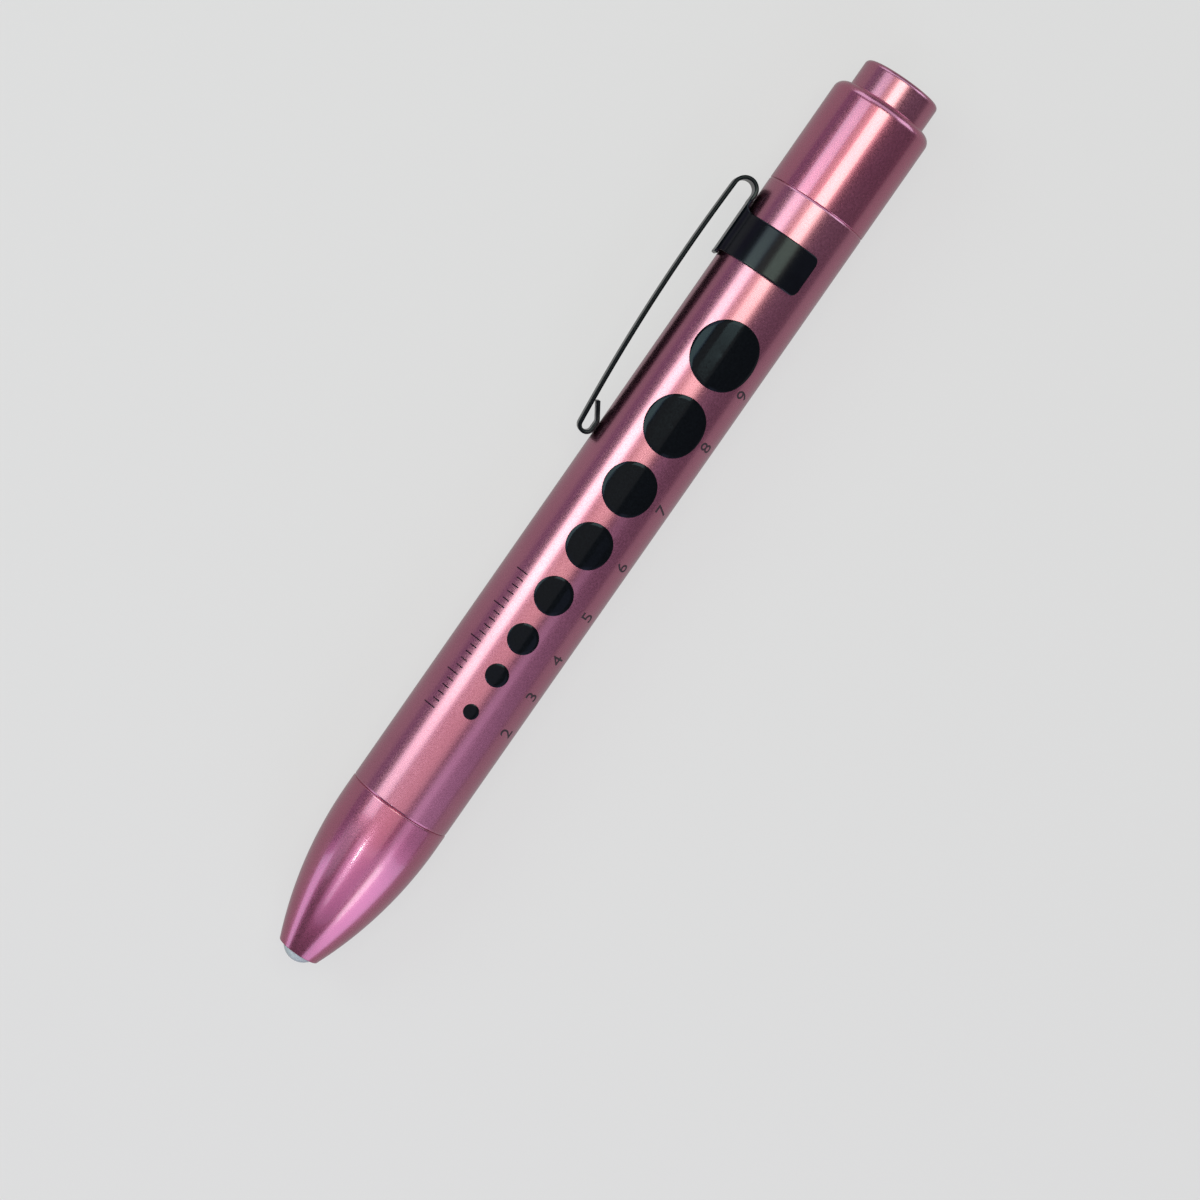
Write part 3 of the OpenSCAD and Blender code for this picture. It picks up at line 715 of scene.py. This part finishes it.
def make_numerals():
    """One plain numeral beside each dot. They read towards the tail, with their tops towards the dots."""
    flat = []
    faces = []
    for size, middle in dot_places():
        points, glyph_faces = glyph(str(size), NUMERAL_H)
        if size == DOT_LARGEST:
            middle += FIRST_NUMERAL_SHIFT
        start = len(flat)
        flat += [(middle - NUMERAL_NARROWING * across, -up) for across, up in points]
        faces += [[start + i for i in face] for face in glyph_faces]
    return printed("printed_numerals", flat, faces, NUMERAL_ANGLE)


def make_rule():
    """A plain rule of fine lines, a millimetre apart."""
    flat = []
    faces = []
    parts = 6
    for k in range(RULE_LEN + 1):
        length = RULE_LONG_LINE if k % RULE_GROUP == 0 else RULE_SHORT_LINE
        middle = RULE_X + k
        start = len(flat)
        for i in range(parts + 1):
            arc = RULE_TOP - length * i / parts
            flat += [(middle - RULE_HALF_LINE_W, arc), (middle + RULE_HALF_LINE_W, arc)]
        for i in range(parts):
            a = start + 2 * i
            faces.append((a, a + 1, a + 3, a + 2))
    return printed("printed_rule", flat, faces, RULE_ANGLE)


# Springs

def make_spring(name, run, coil, wire, turns, end_share=0.75):
    """A coil of round wire along the axis, with a flat turn at each end."""
    steps_per_turn = 48
    steps = turns * steps_per_turn
    around = 14
    low = run[0] + wire
    high = run[1] - wire
    flat_turn = end_share / turns
    middle = []
    for k in range(steps + 1):
        share = k / steps
        rise = (share - flat_turn) / (1 - 2 * flat_turn)
        rise = min(1, max(0, rise))
        pressed = wire * 0.5 * (min(share, flat_turn) - min(1 - share, flat_turn)) / flat_turn
        x = low + wire * 0.5 + (high - low - wire) * rise + pressed
        radius = coil[0] + (coil[1] - coil[0]) * share
        angle = 2 * math.pi * turns * share
        middle.append(Vector((x, radius * math.cos(angle), radius * math.sin(angle))))
    mesh = bmesh.new()
    rings = []
    for k, place in enumerate(middle):
        along = (middle[min(k + 1, steps)] - middle[max(k - 1, 0)]).normalized()
        out = Vector((0, place.y, place.z)).normalized()
        out = (out - along * out.dot(along)).normalized()
        side = along.cross(out)
        ring = []
        for j in range(around):
            turn = 2 * math.pi * j / around
            ring.append(mesh.verts.new((place + (out * math.cos(turn) + side * math.sin(turn)) * wire) * MM))
        rings.append(ring)
    for ring, after in zip(rings, rings[1:]):
        for j in range(around):
            n = (j + 1) % around
            mesh.faces.new((ring[j], ring[n], after[n], after[j]))
    mesh.faces.new(list(reversed(rings[0])))
    mesh.faces.new(rings[-1])
    return make_object(name, mesh, sharp_angle=50)


# Materials

class Finish:
    """A node material with one surface shader, and the few textures that every finish here is mixed from."""

    def __init__(self, name):
        self.material = bpy.data.materials.new(name)
        self.material.use_nodes = True
        self.tree = self.material.node_tree
        self.shader = self.tree.nodes["Principled BSDF"]
        self.place = self.tree.nodes.new("ShaderNodeTexCoord").outputs["Object"]

    def set(self, **values):
        for name, value in values.items():
            self.shader.inputs[name.replace("_", " ")].default_value = value

    def link(self, output, name):
        self.tree.links.new(output, self.shader.inputs[name])

    def noise(self, grain, detail=2.0):
        """Noise whose features are about a grain wide, in millimetres."""
        texture = self.tree.nodes.new("ShaderNodeTexNoise")
        texture.inputs["Scale"].default_value = 1 / (grain * MM)
        texture.inputs["Detail"].default_value = detail
        self.tree.links.new(self.place, texture.inputs["Vector"])
        return texture.outputs["Fac"]

    def outward(self, start, end):
        """A share that grows from 0 to 1 between two distances from the axis, on the clip's side."""
        parts = self.tree.nodes.new("ShaderNodeSeparateXYZ")
        self.tree.links.new(self.place, parts.inputs["Vector"])
        share = self.tree.nodes.new("ShaderNodeMapRange")
        share.inputs["From Min"].default_value = -start * MM
        share.inputs["From Max"].default_value = -end * MM
        self.tree.links.new(parts.outputs["Y"], share.inputs["Value"])
        return share.outputs["Result"]

    def ramp(self, factor, low, high, start=0.3, end=0.7):
        """A colour, or a grey for a value, that runs from low to high."""
        node = self.tree.nodes.new("ShaderNodeValToRGB")
        colours = []
        for value in (low, high):
            colours.append((value, value, value, 1) if isinstance(value, float) else (*value, 1))
        node.color_ramp.elements[0].position = start
        node.color_ramp.elements[0].color = colours[0]
        node.color_ramp.elements[1].position = end
        node.color_ramp.elements[1].color = colours[1]
        self.tree.links.new(factor, node.inputs["Fac"])
        return node.outputs["Color"]

    def multiplied(self, first, second):
        """The product of two colours. The mix node's colour sockets have no names of their own."""
        node = self.tree.nodes.new("ShaderNodeMix")
        node.data_type = "RGBA"
        node.blend_type = "MULTIPLY"
        node.inputs["Factor"].default_value = 1.0
        self.tree.links.new(first, node.inputs[6])
        self.tree.links.new(second, node.inputs[7])
        return node.outputs[2]

    def bump(self, height, strength, depth):
        """Relief with a depth in millimetres."""
        node = self.tree.nodes.new("ShaderNodeBump")
        node.inputs["Strength"].default_value = strength
        node.inputs["Distance"].default_value = depth * MM
        self.tree.links.new(height, node.inputs["Height"])
        self.link(node.outputs["Normal"], "Normal")


def anodised_finish(name, low, high, relief, coat_rough, coat_ior):
    """Rose anodised aluminium: a fine satin grain under the dye, with faint clouds in its colour."""
    finish = Finish(name)
    grain = finish.noise(0.22, detail=3.0)
    clouds = finish.noise(9.0)
    dye = finish.ramp(clouds, low, high)
    speckle = finish.ramp(grain, (0.92, 0.92, 0.92), (1.0, 1.0, 1.0))
    finish.link(finish.multiplied(dye, speckle), "Base Color")
    finish.link(finish.ramp(grain, 0.24, 0.33), "Roughness")
    finish.bump(grain, strength=relief, depth=0.004)
    finish.set(Metallic=1.0, Coat_Weight=0.7, Coat_Roughness=coat_rough, Coat_IOR=coat_ior)
    return finish.material


def clip_finish():
    """Black satin coat on spring steel, with painted shade on the arm: its narrow edges get less specular
    than the band, so they reflect less light.
    """
    finish = Finish("clip_steel")
    grain = finish.noise(0.12, detail=3.0)
    clouds = finish.noise(3.0)
    painted_shade_on_arm = finish.outward(7.3, 7.9)
    finish.link(finish.ramp(clouds, (0.0025, 0.0032, 0.0055), (0.005, 0.0064, 0.01)), "Base Color")
    finish.link(finish.ramp(grain, 0.16, 0.24), "Roughness")
    finish.bump(grain, strength=0.2, depth=0.003)
    # Painted shade: the specular level falls from the band to the arm, so the arm's edges reflect less light
    # and read darker.
    finish.link(finish.ramp(painted_shade_on_arm, 0.3, 0.09, start=0.0, end=1.0), "Specular IOR Level")
    finish.set(IOR=1.5, Specular_Tint=(0.94, 0.86, 1.0, 1.0))
    return finish.material


def ink_finish():
    """Glossy black ink."""
    finish = Finish("ink")
    grain = finish.noise(0.3)
    finish.link(finish.ramp(grain, (0.004, 0.0045, 0.0055), (0.006, 0.0068, 0.0085)), "Base Color")
    finish.link(finish.ramp(grain, 0.09, 0.15), "Roughness")
    finish.bump(grain, strength=0.1, depth=0.002)
    finish.set(IOR=1.5, Specular_IOR_Level=0.17, Specular_Tint=(0.66, 0.7, 1.0, 1.0))
    return finish.material


def fine_ink_finish():
    """Thin plum-black ink of the small marks, through which a little of the dye shows."""
    finish = Finish("fine_ink")
    grain = finish.noise(0.2)
    finish.link(finish.ramp(grain, (0.05, 0.028, 0.037), (0.066, 0.038, 0.049)), "Base Color")
    finish.link(finish.ramp(grain, 0.4, 0.6), "Roughness")
    finish.set(IOR=1.5, Specular_IOR_Level=0.3)
    return finish.material


def lens_finish():
    """Slightly milky clear resin."""
    finish = Finish("lens")
    clouds = finish.noise(0.8)
    finish.link(finish.ramp(clouds, (0.82, 0.84, 0.86), (0.92, 0.93, 0.94)), "Base Color")
    finish.link(finish.ramp(clouds, 0.08, 0.14), "Roughness")
    finish.set(IOR=1.5, Transmission_Weight=0.25)
    return finish.material


def plain_finish(name, low, high, rough, grain, metallic=0.0):
    """A finish with a grain of its own in its colour, its gloss and its relief."""
    finish = Finish(name)
    texture = finish.noise(grain, detail=3.0)
    finish.link(finish.ramp(texture, low, high), "Base Color")
    finish.link(finish.ramp(texture, rough * 0.8, rough * 1.2), "Roughness")
    finish.bump(texture, strength=0.3, depth=0.004)
    finish.set(Metallic=metallic)
    return finish.material


def make_finishes():
    """Every finish by its name. The dye is a little deeper on the nose and tail cap than on the barrel."""
    return {
        "anodised": anodised_finish(
            "anodised", (0.62, 0.20, 0.305), (0.66, 0.225, 0.33),
            relief=0.25, coat_rough=0.15, coat_ior=1.5,
        ),
        "anodised_caps": anodised_finish(
            "anodised_caps", (0.62, 0.155, 0.265), (0.66, 0.18, 0.29),
            relief=0.07, coat_rough=0.1, coat_ior=1.8,
        ),
        "clip_steel": clip_finish(),
        "ink": ink_finish(),
        "fine_ink": fine_ink_finish(),
        "lens": lens_finish(),
        "phosphor": plain_finish(
            "phosphor", (0.85, 0.66, 0.12), (0.95, 0.80, 0.24), rough=0.5, grain=0.1,
        ),
        "cell_jacket": plain_finish(
            "cell_jacket", (0.10, 0.15, 0.20), (0.13, 0.19, 0.25), rough=0.35, grain=0.5,
        ),
        "spring_steel": plain_finish(
            "spring_steel", (0.58, 0.58, 0.60), (0.68, 0.68, 0.70), rough=0.25, grain=0.15, metallic=1.0,
        ),
        "brass": plain_finish(
            "brass", (0.66, 0.46, 0.16), (0.76, 0.55, 0.22), rough=0.28, grain=0.2, metallic=1.0,
        ),
        "white_plastic": plain_finish(
            "white_plastic", (0.76, 0.76, 0.74), (0.83, 0.83, 0.81), rough=0.45, grain=0.2,
        ),
        "black_plastic": plain_finish(
            "black_plastic", (0.014, 0.014, 0.016), (0.024, 0.024, 0.026), rough=0.45, grain=0.15,
        ),
        "board": plain_finish(
            "board", (0.012, 0.12, 0.05), (0.02, 0.17, 0.07), rough=0.4, grain=0.25,
        ),
        "resistor": plain_finish(
            "resistor", (0.012, 0.012, 0.014), (0.03, 0.03, 0.032), rough=0.4, grain=0.2,
        ),
        "rubber": plain_finish(
            "rubber", (0.012, 0.012, 0.012), (0.024, 0.024, 0.024), rough=0.7, grain=0.1,
        ),
    }


# Stage

def ray_level(tree, ray, strength, base=0.0):
    """A node for a level: a base, and a strength more for one kind of ray."""
    rays = tree.nodes.new("ShaderNodeLightPath")
    level = tree.nodes.new("ShaderNodeMath")
    level.operation = "MULTIPLY_ADD"
    level.inputs[1].default_value = strength
    level.inputs[2].default_value = base
    tree.links.new(rays.outputs[ray], level.inputs[0])
    return level


def floor_finish():
    """A dim matt floor that keeps a soft shadow, with a pale glow for the camera and less for gloss."""
    material = bpy.data.materials.new("floor")
    material.use_nodes = True
    tree = material.node_tree
    shader = tree.nodes["Principled BSDF"]
    shader.inputs["Base Color"].default_value = FLOOR_COLOUR
    shader.inputs["Roughness"].default_value = 0.9
    shader.inputs["Specular IOR Level"].default_value = 0.0
    glow = tree.nodes.new("ShaderNodeEmission")
    glow.inputs["Color"].default_value = (1, 1, 1, 1)
    seen = ray_level(tree, "Is Camera Ray", FLOOR_CAMERA_GLOW)
    mirrored = ray_level(tree, "Is Glossy Ray", FLOOR_GLOSSY_GLOW)
    tree.links.new(mirrored.outputs["Value"], seen.inputs[2])
    tree.links.new(seen.outputs["Value"], glow.inputs["Strength"])
    both = tree.nodes.new("ShaderNodeAddShader")
    tree.links.new(shader.outputs["BSDF"], both.inputs[0])
    tree.links.new(glow.outputs["Emission"], both.inputs[1])
    tree.links.new(both.outputs["Shader"], tree.nodes["Material Output"].inputs["Surface"])
    return material


def make_floor():
    mesh = bmesh.new()
    bmesh.ops.create_grid(mesh, x_segments=1, y_segments=1, size=FLOOR_HALF_W * MM)
    bmesh.ops.translate(mesh, verts=mesh.verts, vec=(FLOOR_X * MM, 0, FLOOR_Z * MM))
    floor = make_object("floor", mesh)
    floor.data.materials.append(floor_finish())


def make_world():
    world = bpy.data.worlds.new("studio")
    bpy.context.scene.world = world
    world.use_nodes = True
    tree = world.node_tree
    background = tree.nodes["Background"]
    background.inputs["Color"].default_value = WORLD_COLOUR
    level = ray_level(tree, "Is Camera Ray", WORLD_CAMERA_LEVEL, WORLD_LEVEL)
    tree.links.new(level.outputs["Value"], background.inputs["Strength"])


def add_panel(name, radiance, colour, angle, x, distance, width, length):
    """A soft panel at an angle around the pen from the camera's side, positive away from the clip."""
    lamp = bpy.data.lights.new(name, "AREA")
    lamp.shape = "RECTANGLE"
    lamp.size = length * MM
    lamp.size_y = width * MM
    lamp.color = colour
    lamp.energy = radiance * math.pi * length * width * MM * MM
    panel = bpy.data.objects.new(name, lamp)
    turn = math.radians(angle - CAMERA_ROLL)
    away = Vector((0, math.sin(turn), math.cos(turn)))
    along = Vector((1, 0, 0))
    across = away.cross(along)
    rows = Matrix((along, across, away)).transposed()
    panel.matrix_world = Matrix.Translation((Vector((x, 0, 0)) + away * distance) * MM) @ rows.to_4x4()
    bpy.context.scene.collection.objects.link(panel)
    return panel


def make_side_lights():
    """The broad light streak on the clip's side, and a faint fill at its edge."""
    add_panel("side_core", 3.5, (0.68, 1.05, 0.6),
              angle=-43, x=72, distance=500, width=200, length=150)
    add_panel("side_wash", 1.9, (0.66, 0.88, 1.03),
              angle=-43, x=58, distance=510, width=245, length=276)
    add_panel("side_fill", 0.09, (0.8, 0.5, 1.4),
              angle=-84, x=80, distance=500, width=260, length=600)


def make_tail_rim(radiance, angle, distance, width):
    """A panel behind the tail for the light lines along edges that face it."""
    rim = add_panel("tail_rim", radiance, (0.9, 1.3, 1.4),
                    angle=angle, x=-430, distance=distance, width=width, length=420)
    rim.visible_diffuse = False


def make_top_lights():
    """The warm streak on top of the tail, its rims, and the rose wash along the top."""
    add_panel("top_tail", 3.6, (0.78, 1.15, 0.84),
              angle=1, x=-80, distance=500, width=230, length=200)
    make_tail_rim(0.8, angle=0, distance=300, width=500)
    make_tail_rim(1.4, angle=62, distance=480, width=420)
    make_tail_rim(1.2, angle=-62, distance=480, width=420)
    add_panel("top_wash", 0.66, (1.0, 0.92, 0.65),
              angle=-4, x=-20, distance=520, width=450, length=280)
    add_panel("top_front", 0.6, (0.97, 0.89, 0.84),
              angle=-4, x=210, distance=520, width=450, length=180)


def make_far_lights():
    """The lilac side that faces away from the clip, stronger towards the nose."""
    add_panel("far_wash", 0.26, (1.0, 1.0, 1.4),
              angle=62, x=365, distance=500, width=540, length=470)
    add_panel("far_mid", 0.34, (1.0, 1.1, 1.4),
              angle=40, x=200, distance=500, width=170, length=220)
    add_panel("far_front", 0.86, (0.96, 1.12, 1.5),
              angle=69, x=580, distance=520, width=550, length=660)
    add_panel("far_core", 1.3, (0.85, 1.6, 1.2),
              angle=45, x=390, distance=490, width=130, length=220)


def make_nose_lights():
    """The streaks that run to the nose's tip, and the short bright one behind them."""
    add_panel("nose_top", 0.8, (1.0, 1.4, 1.5),
              angle=-14, x=380, distance=490, width=100, length=240)
    add_panel("nose_spark", 12.0, (0.85, 1.6, 1.4),
              angle=-14, x=285, distance=480, width=18, length=60)
    add_panel("nose_side", 1.2, (0.9, 1.05, 1.4),
              angle=-78, x=580, distance=500, width=270, length=520)
    add_panel("nose_left", 0.32, (1.0, 1.2, 1.5),
              angle=-54, x=330, distance=540, width=290, length=180)
    add_panel("nose_wash", 0.52, (1.0, 0.85, 1.35),
              angle=0, x=500, distance=600, width=700, length=420)


def make_lights():
    make_side_lights()
    make_top_lights()
    make_far_lights()
    make_nose_lights()


def make_camera():
    """A camera at the photograph's angle: the pen lies across the picture, its nose at the lower left."""
    roll = math.radians(CAMERA_ROLL)
    pen = Vector((1, 0, 0))
    side = Vector((0, math.cos(roll), math.sin(roll)))
    towards = Vector((0, -math.sin(roll), math.cos(roll)))
    place = pen * CAMERA_FOOT_X + towards * CAMERA_DISTANCE
    target = pen * AIM_X + side * AIM_SIDE
    back = (place - target).normalized()
    up = pen * PEN_UP + side * PEN_RIGHT
    up = (up - back * up.dot(back)).normalized()
    right = up.cross(back)
    data = bpy.data.cameras.new("camera")
    data.sensor_fit = "HORIZONTAL"
    data.sensor_width = SENSOR_W
    data.lens = SENSOR_W * PICTURE_SCALE * (place - target).length / PICTURE_SIZE
    data.clip_start = 0.01
    data.clip_end = 20.0
    camera = bpy.data.objects.new("camera", data)
    camera.matrix_world = Matrix.Translation(place * MM) @ Matrix((right, up, back)).transposed().to_4x4()
    bpy.context.scene.collection.objects.link(camera)
    bpy.context.scene.camera = camera


# Assembly

def add_piece(piece, body, slot, finish, *nodes):
    """Gives a piece its finish and its body, and hides the solids that it stands for."""
    piece.data.materials.append(finish)
    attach(piece, body)
    if nodes:
        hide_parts(*nodes)


def finish_solids(frame, finishes):
    """Gives every solid of the frame the finish that the record names for it."""
    slots = {row["node"]: row["material_slot"] for row in frame["record"]["subparts"]}
    for name, node in frame["nodes"].items():
        node.data.materials.clear()
        node.data.materials.append(finishes[slots[name]])


def build():
    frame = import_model()
    make_camera()
    make_floor()
    make_world()
    make_lights()
    bpy.context.scene.view_settings.view_transform = "Standard"
    finishes = make_finishes()
    finish_solids(frame, finishes)
    add_piece(make_barrel(), "barrel", "anodised", finishes["anodised"], "barrel")
    add_piece(make_nose(), "nose", "anodised", finishes["anodised_caps"], "nose_cone")
    add_piece(make_tail_cap(), "tail", "anodised", finishes["anodised_caps"], "tail_cap")
    add_piece(make_button(), "button", "anodised", finishes["anodised"], "push_button")
    add_piece(make_lens(), "nose", "lens", finishes["lens"], "led_lens")
    add_piece(make_dots(), "barrel", "ink", finishes["ink"], "gauge_dots")
    add_piece(make_numerals(), "barrel", "ink", finishes["fine_ink"])
    add_piece(make_rule(), "barrel", "ink", finishes["ink"])
    battery = make_spring(
        "battery_coil", BATTERY_SPRING_X, BATTERY_COIL_R, BATTERY_WIRE_R, BATTERY_TURNS)
    add_piece(battery, "battery_spring", "spring_steel", finishes["spring_steel"], "battery_spring")
    latch = make_spring("return_coil", RETURN_SPRING_X, RETURN_COIL_R, RETURN_WIRE_R, RETURN_TURNS)
    add_piece(latch, "tail", "spring_steel", finishes["spring_steel"], "return_spring")
    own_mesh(latch)
    clip = make_clip()
    clip.data.materials.append(finishes["clip_steel"])
    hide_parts("clip_band", "clip_arm")
    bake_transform(clip)


build()
